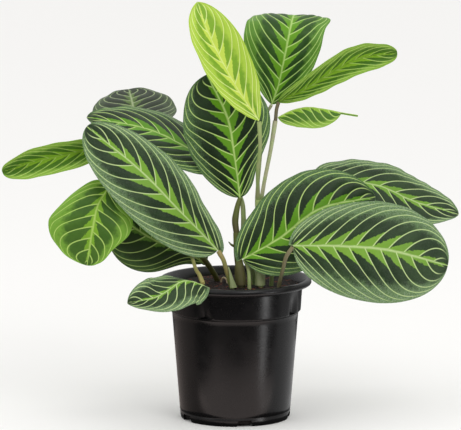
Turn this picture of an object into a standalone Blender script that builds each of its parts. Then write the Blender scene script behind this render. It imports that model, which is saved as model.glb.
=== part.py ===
"""Prayer plant (maranta) in a round black nursery pot.

The pot stands on z = 0 with its axis on Z.  The front is -Y and the plant's right is +X.
Every size below is in millimetres; MM turns it to metres when a mesh is made.
"""

import math
from dataclasses import dataclass, field

import bpy
import bmesh
import numpy as np

MM = 0.001
GAP = 0.3                    # clearance between pieces that touch
ROUTE_STEPS = 24             # straight runs between two given points of a route

# ---- pot ---------------------------------------------------------------------------------
POT_HEIGHT = 120.6
RIM_RADIUS = 65.0            # outer edge of the lip
LIP_INNER_RADIUS = 60.2
COLLAR_TOP_Z = 112.8
COLLAR_BOTTOM_Z = 93.5
COLLAR_TOP_RADIUS = 57.2
COLLAR_BOTTOM_RADIUS = 55.9
BODY_TOP_RADIUS = 54.0
BASE_RADIUS = 46.6
WALL = 1.4
FLOOR = 2.0
POT_SEGMENTS = 48
DENT_AZIMUTH = -28.0         # first of four pinched nesting stops in the collar
DENT_COUNT = 4
DENT_DEPTH = 3.2
DENT_HALF_ANGLE = 9.0
DRAIN_AZIMUTH = 10.0         # first of five drain slots at the foot
DRAIN_COUNT = 5
DRAIN_WIDTH = 10.0
DRAIN_HEIGHT = 4.5
DRAIN_INNER_RADIUS = 30.0

# ---- soil --------------------------------------------------------------------------------
SOIL_EDGE_Z = 114.0
SOIL_CROWN = 2.0             # rise of the soil from the wall to the middle
SOIL_SEGMENTS = 36
SOIL_RINGS = (0.75, 0.45, 0.15)   # shares of the radius where the crown has a ring

# ---- plant -------------------------------------------------------------------------------
BLADE_THICKNESS = 0.7
BLADE_ROWS = 12
BLADE_COLUMNS = 3            # on each side of the midrib
BLADE_END = 0.7              # half width where the stalk joins and at the very tip
STALK_SIDES = 8
STALK_STEP = 10.0            # distance between rings along a stalk
RING_START = (0.3, 1, 0.2)   # a direction that no stalk starts along
TANGENT_REACH = 0.01         # share of the length used to find the way a midrib runs

LEAF_GREEN = (0.05, 0.17, 0.03)
LEAF_LIME = (0.42, 0.62, 0.08)
LEAF_GREY = (0.06, 0.13, 0.07)
STALK_GREEN = (0.18, 0.24, 0.07)
CANE_BROWN = (0.13, 0.10, 0.04)
SHEATH_GREEN = (0.28, 0.36, 0.16)
POT_BLACK = (0.012, 0.012, 0.013)
SOIL_BROWN = (0.035, 0.018, 0.012)
ROOT_CREAM = (0.42, 0.33, 0.24)


@dataclass
class Leaf:
    """One blade, laid out from its stalk end to its tip.

    Left and right are seen from the stalk looking to the tip, with the upper face showing.
    """

    name: str
    midrib: list             # points along the midrib
    half: tuple              # greatest half width, left and right
    face: tuple = (0, -1, 0)   # way the upper face looks
    face_tip: tuple = None   # the same at the tip, where it turns
    turn: tuple = (0, 1)     # shares of the length where the turn of the face starts and ends
    fold: tuple = (8, 8)     # lift of each side at the midrib, degrees
    fold_tip: tuple = None
    curl: tuple = (-25, -25)   # further bend of each side out to its margin
    widest: float = 0.46
    base_blunt: float = 0.5
    tip_blunt: float = 0.62
    lobe: tuple = (0, 0)     # reach of each side's rounded base behind the stalk
    bumps: list = field(default_factory=list)   # (side, place, spread, extra half width)
    tail: float = 0.0        # share of the length that is a dried thread
    colour: tuple = LEAF_GREEN


@dataclass
class Stalk:
    """A round stem along a smooth route, with its radius given along the way."""

    name: str
    route: list
    radii: tuple
    planted: bool = False    # its foot stands in a pocket in the soil
    off: tuple = ()          # stems that it grows from, and is cut back to
    colour: tuple = STALK_GREEN


LEAVES = [
    Leaf("leaf_top_young",
         [(20, -19, 258), (5, -20, 280), (-9, -17, 304), (-24, -9, 334), (-32, 3, 356)],
         (24, 27), face=(-0.25, -0.95, 0), fold=(58, -5), curl=(10, 35),
         widest=0.52, base_blunt=0.65, tip_blunt=0.75, colour=LEAF_LIME),
    Leaf("leaf_top_centre",
         [(31, 9, 268), (37, 8, 286), (43, 8, 314), (47, 14, 333), (50, 33, 341), (53, 53, 335)],
         (38, 29), face=(0.05, -0.95, 0.25), face_tip=(0, 0, 1), turn=(0.5, 0.85),
         curl=(-22, -22), widest=0.55, base_blunt=0.75, tip_blunt=0.45,
         bumps=[(1, 0.8, 0.1, 7)]),
    Leaf("leaf_top_right",
         [(37, 6, 271), (59, 2, 282), (84, 0, 298), (107, 0, 309), (137, 2, 313)],
         (21, 17), face=(-0.05, -1, 0.05), fold=(60, 62), curl=(0, 0), fold_tip=(50, 35),
         widest=0.6, tip_blunt=0.45),
    Leaf("leaf_small_folded",
         [(36, 2, 258), (48, 0, 264), (62, -1, 267), (77, 0, 265), (91, 1, 262), (104, 0, 260)],
         (16, 18), face=(0, -0.6, 0.8), fold=(-55, -35), curl=(-10, -5),
         widest=0.55, tail=0.2),
    Leaf("leaf_centre",
         [(4, -4, 190), (-1, -8, 230), (-7, -6, 260), (-24, 6, 294)],
         (40, 33), face=(0.05, -0.98, 0.2), fold=(5, 12), curl=(-30, -30),
         widest=0.58, base_blunt=0.62, tip_blunt=0.5,
         bumps=[(1, 0.22, 0.16, -7), (1, 0.62, 0.15, 3)]),
    Leaf("leaf_front_left",
         [(-15, -24, 148), (-50, -36, 187), (-80, -36, 218), (-125, -26, 254)],
         (35, 28), face=(0.25, -0.9, 0.35), widest=0.5, tip_blunt=0.5, lobe=(0, 5),
         bumps=[(1, 0.2, 0.15, -4)], colour=LEAF_GREY),
    Leaf("leaf_mid_left",
         [(-6, 14, 211), (-38, 16, 228), (-75, 14, 246), (-126, 8, 257)],
         (30, 36), face=(0.05, -0.45, 0.9), fold=(5, 5), curl=(-20, -20), widest=0.42),
    Leaf("leaf_back_left",
         [(-84, 46, 245), (-87, 74, 252), (-90, 102, 260), (-93, 130, 265)],
         (37, 38), face=(-0.05, -0.4, 0.9), curl=(-30, -30), colour=LEAF_GREY),
    Leaf("leaf_far_left",
         [(-104, -8, 233), (-126, -8, 231), (-147, -10, 227), (-177, -12, 220),
          (-197, -12, 213)],
         (20, 20), face=(0.1, -1, 0.05), fold=(52, 50), curl=(0, 0),
         widest=0.55, tip_blunt=0.45),
    Leaf("leaf_left_hanging",
         [(-108, -24, 200), (-116, -32, 187), (-120, -38, 168), (-125, -36, 137)],
         (34, 40), face=(-0.1, -0.95, 0.3), widest=0.5, tip_blunt=0.6, lobe=(3, 8),
         bumps=[(0, 0.75, 0.2, -9), (1, 0.2, 0.2, -10)]),
    Leaf("leaf_low_left",
         [(-25, 6, 131), (-39, 2, 140), (-71, -6, 155), (-104, -10, 178)],
         (32, 30), face=(0, -0.85, 0.5), fold=(-5, 8), curl=(-20, -20),
         widest=0.6, tip_blunt=0.5, bumps=[(0, 0.2, 0.25, -14)]),
    Leaf("leaf_over_rim",
         [(-27, -63, 125), (-36, -69, 129), (-46, -74, 129), (-59, -79, 121),
          (-69, -82, 117), (-90, -84, 113)],
         (26, 24), face=(0, -0.8, 0.6), fold=(0, -70), fold_tip=(45, 30), curl=(-10, -10),
         widest=0.35, tip_blunt=0.6, lobe=(7, 0), colour=LEAF_GREY),
    Leaf("leaf_right_middle",
         [(7, -20, 140), (38, -20, 158), (72, -14, 182), (119, 0, 190)],
         (37, 37), face=(0, -0.95, 0.3), curl=(-20, -20), lobe=(6, 0)),
    Leaf("leaf_right_back",
         [(66, 24, 203), (94, 28, 200), (125, 30, 194), (154, 30, 181), (191, 24, 171)],
         (29, 32), face=(-0.05, -0.6, 0.8), curl=(-20, -20), colour=LEAF_GREY),
    Leaf("leaf_front_right",
         [(49, -37, 154), (88, -45, 155), (130, -49, 152), (179, -43, 138)],
         (42, 46), face=(0, -0.92, 0.35), fold=(6, 6), widest=0.55, tip_blunt=0.5, lobe=(4, 0),
         colour=LEAF_GREY),
]

SESSILE = "leaf_small_folded"   # this blade sits on its shoot with no stalk of its own

STALKS = [
    Stalk("cane_main", [(6, -18, 102), (5, -17, 117), (2, -14, 142), (1, -11, 161)],
          (3.2, 3.2, 3.0, 2.8), planted=True, colour=CANE_BROWN),
    Stalk("cane_left", [(-13, 18, 102), (-15, 13, 115), (-20, 5, 126), (-28, -6, 139),
                        (-42, -14, 155), (-48, -15, 163)],
          (2.4, 2.3, 2.1), planted=True, colour=CANE_BROWN),
    Stalk("cane_right", [(21, -18, 102), (21, -14, 125), (20, -7, 150), (19.5, -5, 165),
                         (19.5, -7, 189)],
          (3.0, 2.8, 2.6), planted=True),
    Stalk("shoot_right", [(19.5, -6.5, 181), (22.5, -4, 191), (25, -2.5, 205), (30, 0, 230),
                          (34, 2, 255)],
          (1.8, 1.6, 2.0), off=("cane_right",)),
    Stalk("stalk_centre", [(1, -10.7, 161.6), (0, -8, 171), (2, -6, 183), (4, -4.2, 189.4)],
          (2.3, 2.9, 1.8), off=("cane_main",)),
    Stalk("stalk_mid_left", [(1.5, -13, 149), (6, -6, 160), (6, 6, 182), (1, 14, 199),
                             (-5.6, 14, 210.4)],
          (1.7, 1.5), off=("cane_main",)),
    Stalk("stalk_back_left", [(16, -8, 103), (16, -5, 120), (12, 2, 144), (8, 10, 167),
                              (5, 18, 186), (-11, 26, 209), (-43, 30, 223), (-71, 38, 236),
                              (-83.5, 45.6, 244.5)],
          (1.8, 1.6, 1.4), planted=True),
    Stalk("stalk_front_left", [(2, -25, 103), (-4, -25, 119), (-8, -26, 133), (-10, -26, 140),
                               (-14.3, -24.2, 147.4)],
          (2.0, 1.8, 2.0), planted=True),
    Stalk("stalk_over_rim", [(-40, -13, 152.5), (-38.5, -20, 150), (-36, -32, 142),
                             (-33, -45, 135), (-30, -55, 132), (-27.1, -62.3, 126)],
          (1.7, 1.5, 1.8), off=("cane_left",)),
    Stalk("stalk_left_hanging", [(-45, -14.5, 159), (-52, -18, 163), (-66, -20, 172),
                                 (-89, -23, 191), (-107.2, -23.6, 199.4)],
          (1.6, 1.4), off=("cane_left",)),
    Stalk("stalk_far_left", [(-48.3, -14.6, 163.6), (-64, -9, 184), (-89, -7, 219),
                             (-103.3, -8, 232.5)],
          (1.6, 1.4), off=("cane_left",)),
    Stalk("stalk_low_left", [(-18, 8, 122), (-21, 9, 126), (-24.6, 6.6, 130.2)],
          (1.5, 1.3), off=("cane_left",)),
    Stalk("stalk_top_young", [(19.3, -8, 189.6), (19.2, -12.5, 200), (19, -16, 215),
                              (21, -20, 236), (20.2, -19, 257.2)],
          (1.8, 1.5, 1.9), off=("cane_right",)),
    Stalk("stalk_top_right", [(34.2, 2.4, 255.6), (35, 5, 264), (36.8, 6, 270.4)],
          (1.5, 1.6), off=("shoot_right",)),
    Stalk("stalk_top_centre", [(19, -5, 176), (18.5, 2, 190), (22, 9, 230), (26, 12, 257),
                               (30.7, 9.2, 267.4)],
          (1.6, 1.4), off=("cane_right",)),
    Stalk("stalk_right_middle", [(11, -26, 103), (12, -24, 118), (11, -18, 131),
                                 (7.5, -18.4, 139.2)],
          (1.8, 1.5), planted=True),
    Stalk("stalk_right_back", [(30, -13, 103), (31, -7, 120), (34, 4, 144), (48, 18, 178),
                               (65.3, 24, 202.5)],
          (1.9, 1.5), planted=True),
    Stalk("stalk_front_right", [(36, -30, 103), (37, -33, 119), (40, -38, 133), (43, -40, 145),
                                (48.4, -38, 153)],
          (1.9, 1.6, 1.8), planted=True, colour=CANE_BROWN),
    Stalk("root_loop", [(-12, 5, 111), (-11.8, 4, 117), (-10.5, 2.5, 120), (-8, 1, 119.5),
                        (-6.8, 0.5, 116), (-7, 0, 111)],
          (0.6, 0.6), planted=True, colour=ROOT_CREAM),
    Stalk("bud_spur", [(0, -13, 149.5), (-3.2, -13.6, 151), (-5.6, -13.8, 153.6)],
          (1.4, 0.4), off=("cane_main",), colour=CANE_BROWN),
]


@dataclass
class Sheath:
    """A leaf sheath that wraps part of the way round a stem and ends in a point."""

    name: str
    stem: str                # the stem that it wraps
    start: float             # where it starts and ends, as distances along the stem
    end: float
    azimuth: float           # way it faces, degrees from the front towards the right
    half_arc: float          # how far it wraps to each side at its foot, degrees
    flare: float             # extra distance from the stem at its foot
    colour: tuple = SHEATH_GREEN


SHEATHS = [
    Sheath("sheath_main", "cane_main", 15.5, 41.0, 20, 115, 0.8, CANE_BROWN),
    Sheath("sheath_front_left", "stalk_front_left", 14.5, 33.0, 75, 80, 1.8),
    Sheath("sheath_right", "cane_right", 15.0, 38.0, 10, 110, 0.4),
]
SHEATH_THICKNESS = 0.6
SHEATH_ROWS = 6
SHEATH_COLUMNS = 8
SHEATH_POINT_ARC = 8.0       # half wrap at its point, degrees
SHEATH_TAPER = 0.7


# ---- shared shapes -----------------------------------------------------------------------
def unit(v):
    """The vector, or each row of vectors, at length one."""
    v = np.asarray(v, float)
    return v / np.linalg.norm(v, axis=-1, keepdims=True)


def smooth_line(points):
    """A dense smooth line through the points, and the distance along it at each place."""
    p = np.asarray(points, float)
    p = np.vstack([2 * p[0] - p[1], p, 2 * p[-1] - p[-2]])
    steps = np.linspace(0, 1, ROUTE_STEPS, endpoint=False)[:, None]
    line = []
    for a, b, c, d in zip(p[:-3], p[1:-2], p[2:-1], p[3:]):
        line.append(0.5 * (2 * b + (c - a) * steps + (2 * a - 5 * b + 4 * c - d) * steps ** 2
                           + (3 * b - a - 3 * c + d) * steps ** 3))
    line = np.vstack(line + [p[-2:-1]])
    lengths = np.linalg.norm(np.diff(line, axis=0), axis=1)
    return line, np.concatenate([[0], np.cumsum(lengths)])


def along(line, distance, at):
    """Points of the line at the given distances."""
    return np.stack([np.interp(at, distance, line[:, k]) for k in range(3)], axis=-1)


def material(name, colour, roughness, metallic=0.0):
    """A plain surface in one colour."""
    mat = bpy.data.materials.new(name)
    mat.use_nodes = True
    shader = mat.node_tree.nodes["Principled BSDF"]
    shader.inputs["Base Color"].default_value = (*colour, 1.0)
    shader.inputs["Roughness"].default_value = roughness
    shader.inputs["Metallic"].default_value = metallic
    mat.diffuse_color = (*colour, 1.0)
    return mat


def make_object(name, points, faces, mat, smooth=True):
    """A mesh object from points in millimetres, its faces turned outwards."""
    mesh = bpy.data.meshes.new(name)
    mesh.from_pydata([tuple(p) for p in np.asarray(points) * MM], [], faces)
    bm = bmesh.new()
    bm.from_mesh(mesh)
    bmesh.ops.recalc_face_normals(bm, faces=bm.faces)
    bm.to_mesh(mesh)
    bm.free()
    if smooth:
        mesh.shade_smooth()
        mesh.set_sharp_from_angle(angle=math.radians(40))
    obj = bpy.data.objects.new(name, mesh)
    bpy.context.collection.objects.link(obj)
    if mat:
        mesh.materials.append(mat)
    return obj


def ring_faces(rings, segments, first=0):
    """Faces that join each ring of points to the next."""
    faces = []
    for r in range(rings - 1):
        for s in range(segments):
            a = first + r * segments + s
            b = first + r * segments + (s + 1) % segments
            faces.append((a, b, b + segments, a + segments))
    return faces


def tube_rings(route, radii, sides, step=STALK_STEP, swell=0.0):
    """Rings of points along a smooth route, turned without twist."""
    line, distance = smooth_line(route)
    count = max(3, int(round(distance[-1] / step)) + 1)
    at = np.linspace(0, distance[-1], count)
    centres = along(line, distance, at)
    radius = np.interp(at / distance[-1], np.linspace(0, 1, len(radii)), radii) + swell
    tangents = unit(np.gradient(centres, axis=0))
    centres[0] -= swell * tangents[0]
    centres[-1] += swell * tangents[-1]
    across = np.cross(tangents[0], RING_START)
    rings = []
    for centre, tangent, r in zip(centres, tangents, radius):
        across = unit(across - np.dot(across, tangent) * tangent)
        other = np.cross(tangent, across)
        for k in range(sides):
            angle = 2 * math.pi * k / sides
            rings.append(centre + r * (math.cos(angle) * across + math.sin(angle) * other))
    return np.array(rings), count


def tube(name, route, radii, mat, swell=0.0):
    """A closed round stem."""
    points, count = tube_rings(route, radii, STALK_SIDES, swell=swell)
    faces = ring_faces(count, STALK_SIDES)
    faces.append(tuple(range(STALK_SIDES)))
    faces.append(tuple(range((count - 1) * STALK_SIDES, count * STALK_SIDES)))
    return make_object(name, points, faces, mat)


def sheet_solid(name, grid, thickness, mat):
    """A closed thin solid from a grid of points, half its thickness to each side."""
    rows, columns = grid.shape[:2]
    down = np.gradient(grid, axis=0)
    over = np.gradient(grid, axis=1)
    normal = unit(np.cross(over, down)) * thickness / 2
    points = np.concatenate([(grid + normal).reshape(-1, 3), (grid - normal).reshape(-1, 3)])
    size = rows * columns
    faces = []
    for r in range(rows - 1):
        for c in range(columns - 1):
            a = r * columns + c
            quad = (a, a + 1, a + columns + 1, a + columns)
            faces.append(quad)
            faces.append(tuple(size + i for i in reversed(quad)))
    border = [(0, c) for c in range(columns - 1)]
    border += [(r, columns - 1) for r in range(rows - 1)]
    border += [(rows - 1, c) for c in range(columns - 1, 0, -1)]
    border += [(r, 0) for r in range(rows - 1, 0, -1)]
    ids = [r * columns + c for r, c in border]
    for a, b in zip(ids, ids[1:] + ids[:1]):
        faces.append((a, b, size + b, size + a))
    return make_object(name, points, faces, mat)


def cut(obj, cutter):
    """Cut the cutter's shape out of the object, and keep the cutter out of the model."""
    cutter.hide_render = True
    cutter.display_type = 'WIRE'
    boolean = obj.modifiers.new("cut_" + cutter.name, 'BOOLEAN')
    boolean.operation = 'DIFFERENCE'
    boolean.object = cutter


# ---- pot ---------------------------------------------------------------------------------
def dent(z, azimuth):
    """How far a nesting stop pinches the wall in, at a height and an azimuth in degrees."""
    if not COLLAR_BOTTOM_Z - 0.2 <= z <= COLLAR_TOP_Z:
        return 0.0
    turn = 360.0 / DENT_COUNT
    off = abs((azimuth - DENT_AZIMUTH + turn / 2) % turn - turn / 2)
    depth = (COLLAR_TOP_Z - z) / (COLLAR_TOP_Z - COLLAR_BOTTOM_Z)
    return DENT_DEPTH * depth * max(0.0, 1 - off / DENT_HALF_ANGLE)


def outer_radius(z):
    """Outer radius of the body below the collar."""
    return BASE_RADIUS + (BODY_TOP_RADIUS - BASE_RADIUS) * z / COLLAR_BOTTOM_Z


def inner_profile():
    """The inside of the wall from the floor to the lip, as (radius, z)."""
    slope = [(outer_radius(z) - WALL, z) for z in (FLOOR, 40.0, 85.0)]
    return slope + [
        (BODY_TOP_RADIUS - WALL, COLLAR_BOTTOM_Z - 4),
        (COLLAR_BOTTOM_RADIUS - WALL, COLLAR_BOTTOM_Z - 0.1),
        (0.5 * (COLLAR_BOTTOM_RADIUS + COLLAR_TOP_RADIUS) - WALL,
         0.5 * (COLLAR_BOTTOM_Z + COLLAR_TOP_Z)),
        (COLLAR_TOP_RADIUS - WALL, COLLAR_TOP_Z),
    ]


def turned(name, profile, segments, mat, pinched=False):
    """A body turned about Z from (radius, z) points, if asked pinched at the nesting stops."""
    points = []
    for radius, z in profile:
        for s in range(segments):
            azimuth = DENT_AZIMUTH + 360.0 * s / segments
            r = radius - dent(z, azimuth) if pinched else radius
            a = math.radians(azimuth)
            points.append((r * math.sin(a), -r * math.cos(a), z))
    faces = ring_faces(len(profile), segments)
    last = (len(profile) - 1) * segments
    faces.append(tuple(range(segments)))
    faces.append(tuple(range(last, last + segments)))
    return make_object(name, points, faces, mat)


def build_pot():
    """The moulded pot with its flat foot, tapered body, collar and flared lip."""
    outside = [
        (BASE_RADIUS - 1.5, 0.0),
        (BASE_RADIUS - 0.2, 1.0),
        (outer_radius(6), 6.0),
        (outer_radius(45), 45.0),
        (BODY_TOP_RADIUS, COLLAR_BOTTOM_Z - 0.6),
        (COLLAR_BOTTOM_RADIUS, COLLAR_BOTTOM_Z),
        (0.5 * (COLLAR_BOTTOM_RADIUS + COLLAR_TOP_RADIUS),
         0.5 * (COLLAR_BOTTOM_Z + COLLAR_TOP_Z)),
        (COLLAR_TOP_RADIUS, COLLAR_TOP_Z),
        (RIM_RADIUS - 0.8, POT_HEIGHT - 5.0),
        (RIM_RADIUS, POT_HEIGHT - 3.6),
        (RIM_RADIUS - 0.5, POT_HEIGHT - 1.4),
        (RIM_RADIUS - 2.5, POT_HEIGHT),
        (LIP_INNER_RADIUS, POT_HEIGHT - 0.5),
    ]
    pot = turned("pot", outside + inner_profile()[::-1], POT_SEGMENTS,
                 material("black_plastic", POT_BLACK, 0.35), pinched=True)
    cut(pot, drain_cutter())
    return pot


def drain_cutter():
    """Five blocks that cut the drain slots through the foot and the edge of the floor."""
    points = []
    faces = []
    for k in range(DRAIN_COUNT):
        a = math.radians(DRAIN_AZIMUTH + 360.0 * k / DRAIN_COUNT)
        out = np.array([math.sin(a), -math.cos(a), 0])
        side = np.array([math.cos(a), math.sin(a), 0])
        first = len(points)
        for z in (-1.0, DRAIN_HEIGHT):
            width = DRAIN_WIDTH / 2 if z < 0 else DRAIN_WIDTH / 2 - 1.5
            for reach, s in ((DRAIN_INNER_RADIUS, -1), (RIM_RADIUS, -1),
                             (RIM_RADIUS, 1), (DRAIN_INNER_RADIUS, 1)):
                points.append(out * reach + side * s * width + np.array([0, 0, z]))
        faces += [tuple(first + i for i in quad) for quad in
                  ((0, 1, 2, 3), (4, 5, 6, 7), (0, 1, 5, 4), (1, 2, 6, 5),
                   (2, 3, 7, 6), (3, 0, 4, 7))]
    return make_object("drain_cutter", points, faces, None, smooth=False)


# ---- soil --------------------------------------------------------------------------------
def build_soil():
    """The root ball and potting soil, clear of the wall and its stops, with a low crown."""
    side = [(r - GAP - dent(z, DENT_AZIMUTH), z) for r, z in inner_profile()]
    side[0] = (side[0][0], FLOOR + GAP)
    top_radius = side[-1][0]
    side.append((top_radius, SOIL_EDGE_Z))
    for share in SOIL_RINGS:
        side.append((top_radius * share, SOIL_EDGE_Z + SOIL_CROWN * (1 - share ** 2)))
    return turned("soil", side, SOIL_SEGMENTS, material("potting_soil", SOIL_BROWN, 0.95))


# ---- plant -------------------------------------------------------------------------------
def half_widths(leaf, t):
    """Half width of the blade's two sides at shares t of its length."""
    share = np.clip(t / (1 - leaf.tail), 0, 1)
    rise = np.clip(1 - (1 - share / leaf.widest) ** 2, 0, 1) ** leaf.base_blunt
    fall = np.clip(1 - ((share - leaf.widest) / (1 - leaf.widest)) ** 2, 0, 1) ** leaf.tip_blunt
    outline = np.where(share < leaf.widest, rise, fall)
    sides = []
    for k in (0, 1):
        h = outline * leaf.half[k]
        for side, place, spread, extra in leaf.bumps:
            if side == k:
                h = h + extra * np.exp(-((t - place) / spread) ** 2) * np.minimum(outline * 3, 1)
        sides.append(np.maximum(h, BLADE_END))
    return sides


def blade_grid(leaf, rows, columns):
    """Points of the blade's middle surface, from its left margin to its right."""
    line, distance = smooth_line(leaf.midrib)
    length = distance[-1]
    t = (1 - np.cos(np.pi * np.arange(rows + 1) / rows)) / 2
    middle = along(line, distance, t * length)
    near = TANGENT_REACH * length
    ahead = along(line, distance, np.minimum(t * length + near, length))
    behind = along(line, distance, np.maximum(t * length - near, 0))
    tangent = unit(ahead - behind)
    turned_share = np.clip((t - leaf.turn[0]) / (leaf.turn[1] - leaf.turn[0]), 0, 1)[:, None]
    face = unit(leaf.face) * (1 - turned_share) + unit(leaf.face_tip or leaf.face) * turned_share
    normal = unit(face - np.sum(face * tangent, axis=1, keepdims=True) * tangent)
    sideways = np.cross(tangent, normal)
    halves = half_widths(leaf, t)
    fold_tip = leaf.fold_tip or leaf.fold
    back = (1 - t) ** 5
    sides = []
    for k, sign in ((0, -1), (1, 1)):
        fold = leaf.fold[k] * (1 - t) + fold_tip[k] * t
        h = halves[k]
        place = middle.copy()
        out = [middle]
        for c in range(columns):
            angle = np.radians(fold + leaf.curl[k] * (c + 0.5) / columns * h / leaf.half[k])
            step = h / columns
            place = place + step[:, None] * (np.cos(angle)[:, None] * sign * sideways
                                             + np.sin(angle)[:, None] * normal)
            reach = ((c + 1) / columns) ** 1.5
            out.append(place - tangent * (leaf.lobe[k] * back * reach)[:, None])
        sides.append(np.stack(out, axis=1))
    left, right = sides
    return np.concatenate([left[:, :0:-1], right], axis=1)


def build_leaf(leaf):
    """One blade as a thin closed solid."""
    grid = blade_grid(leaf, BLADE_ROWS, BLADE_COLUMNS)
    return sheet_solid(leaf.name, grid, BLADE_THICKNESS,
                       material(leaf.name + "_green", leaf.colour, 0.45))


def sheath_grid(sheath, stem):
    """Points of a sheath round its stem, from its foot to its point."""
    line, distance = smooth_line(stem.route)
    t = np.linspace(0, 1, SHEATH_ROWS + 1)
    at = sheath.start + (sheath.end - sheath.start) * t
    centre = along(line, distance, at)
    radius = np.interp(at / distance[-1], np.linspace(0, 1, len(stem.radii)), stem.radii)
    radius = radius + GAP + SHEATH_THICKNESS + sheath.flare * (1 - t)
    arc = sheath.half_arc * (1 - t) ** SHEATH_TAPER + SHEATH_POINT_ARC
    rows = []
    for c, r, half in zip(centre, radius, arc):
        angles = np.radians(sheath.azimuth + np.linspace(-half, half, SHEATH_COLUMNS + 1))
        rows.append([c + r * np.array([math.sin(a), -math.cos(a), 0]) for a in angles])
    return np.array(rows)


def build_plant(soil):
    """Canes, stalks, sheaths and leaves; planted feet get pockets in the soil."""
    stems = {stalk.name: stalk for stalk in STALKS}
    for stalk in STALKS:
        stem = tube(stalk.name, stalk.route, stalk.radii,
                    material(stalk.name + "_skin", stalk.colour, 0.5))
        if stalk.planted:
            cut(soil, tube(stalk.name + "_pocket", stalk.route, stalk.radii, None, swell=GAP))
        for parent in stalk.off:
            carrier = stems[parent]
            cut(stem, tube(stalk.name + "_seat", carrier.route, carrier.radii, None, swell=GAP))
    for sheath in SHEATHS:
        sheet_solid(sheath.name, sheath_grid(sheath, stems[sheath.stem]), SHEATH_THICKNESS,
                    material(sheath.name + "_skin", sheath.colour, 0.55))
    for leaf in LEAVES:
        blade = build_leaf(leaf)
        stalk = stems[leaf.name.replace("leaf", "stalk")] if leaf.name != SESSILE else None
        if stalk:
            cut(blade, tube(leaf.name + "_notch", stalk.route, stalk.radii, None, swell=GAP))


def main():
    """Clear the scene and build the potted plant."""
    for obj in list(bpy.data.objects):
        bpy.data.objects.remove(obj, do_unlink=True)
    build_pot()
    soil = build_soil()
    build_plant(soil)


main()
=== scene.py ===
"""Prayer plant (maranta) in a round black nursery pot: the finish of every surface.

The pot stands on z = 0 with its axis on Z.  The front is -Y and the plant's right is +X.
Sizes are in millimetres, and MM turns them to metres.
"""

import logging
import math
from dataclasses import dataclass, field
from enum import Enum
from functools import partial

import bmesh
import bpy
import numpy as np
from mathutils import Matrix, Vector


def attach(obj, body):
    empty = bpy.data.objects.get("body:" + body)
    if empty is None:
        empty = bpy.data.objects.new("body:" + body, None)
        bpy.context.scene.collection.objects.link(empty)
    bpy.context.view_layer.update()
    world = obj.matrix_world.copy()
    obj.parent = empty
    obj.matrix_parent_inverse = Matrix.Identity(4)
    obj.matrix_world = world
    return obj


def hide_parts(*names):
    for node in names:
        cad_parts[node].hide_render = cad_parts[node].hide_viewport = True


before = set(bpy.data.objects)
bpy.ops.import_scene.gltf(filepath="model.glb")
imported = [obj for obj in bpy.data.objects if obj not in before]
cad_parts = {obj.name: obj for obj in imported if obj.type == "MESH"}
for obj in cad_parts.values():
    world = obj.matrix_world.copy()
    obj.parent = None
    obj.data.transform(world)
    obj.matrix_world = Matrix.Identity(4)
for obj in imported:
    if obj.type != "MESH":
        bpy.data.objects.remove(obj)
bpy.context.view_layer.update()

MM = 0.001
SHARP = math.radians(50)         # two faces that meet at more than this make a crisp edge
BODY = "root"
LOG = logging.getLogger("prayer_plant")

Point = tuple[float, float, float]


# ---- colour and nodes ----------------------------------------------------------------------
def linear(code: str) -> tuple[float, float, float, float]:
    """Turn an sRGB hex colour to linear light.

    Args:
        code: The colour as "#rrggbb".

    Returns:
        Red, green, blue and an alpha of 1.
    """
    channels = [int(code[i:i + 2], 16) / 255 for i in (1, 3, 5)]
    low, high = 0.04045, 12.92
    return (*[c / high if c <= low else ((c + 0.055) / 1.055) ** 2.4 for c in channels], 1.0)


def add_node(owner: bpy.types.Material | bpy.types.World, kind: str,
             inputs: list | dict | None = None, out: int | str = 0,
             **settings: object) -> bpy.types.NodeSocket | None:
    """Add one node, set it and link it.

    Args:
        owner: The material or world whose tree takes the node.
        kind: The node's type after "ShaderNode", such as "Math".
        inputs: What goes in, in order or by name: a socket, a value or a hex colour.
        out: Place or name of the output that is given back.
        settings: Properties of the node.

    Returns:
        The output's socket, or None for a node that has none.
    """
    node = owner.node_tree.nodes.new("ShaderNode" + kind)
    for key, value in settings.items():
        setattr(node, key, value)
    for key, value in inputs.items() if isinstance(inputs, dict) else enumerate(inputs or []):
        if isinstance(value, bpy.types.NodeSocket):
            owner.node_tree.links.new(value, node.inputs[key])
        else:
            node.inputs[key].default_value = linear(value) if isinstance(value, str) else value
    return node.outputs[out] if node.outputs else None


SMOOTH = {"interpolation_type": 'SMOOTHSTEP'}    # a share that eases in and out


def bare_material(name: str) -> bpy.types.Material:
    """Start a material that has no nodes yet."""
    material = bpy.data.materials.new(name)
    material.use_nodes = True
    material.node_tree.nodes.clear()
    return material


def lay_colours(material: bpy.types.Material, ground: str,
                layers: list[tuple[bpy.types.NodeSocket, float, str]]) -> bpy.types.NodeSocket:
    """Lay colours one over another, as a skin or a coat shows them.

    Args:
        material: The material being made.
        ground: The colour underneath.
        layers: Where each colour lies, the most of it that shows, and the colour.

    Returns:
        The colour that shows.
    """
    tone = ground
    for where, most, colour in layers:
        share = add_node(material, "Math", [where, most], operation="MULTIPLY")
        tone = add_node(material, "Mix", {0: share, 6: tone, 7: colour}, 2, data_type='RGBA')
    return tone


# ---- leaf finishes -------------------------------------------------------------------------
class Tone(Enum):
    """How old a leaf is, with some tones carrying painted sheen and painted shade."""

    YOUNG = "young"
    LIMY = "limy"
    FRESH = "fresh"
    BRIGHT = "bright"
    DARK = "dark"
    SHEEN_LIT = "sheen_lit"
    GREY_SHADED = "grey_shaded"
    SHADED = "shaded"


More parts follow.
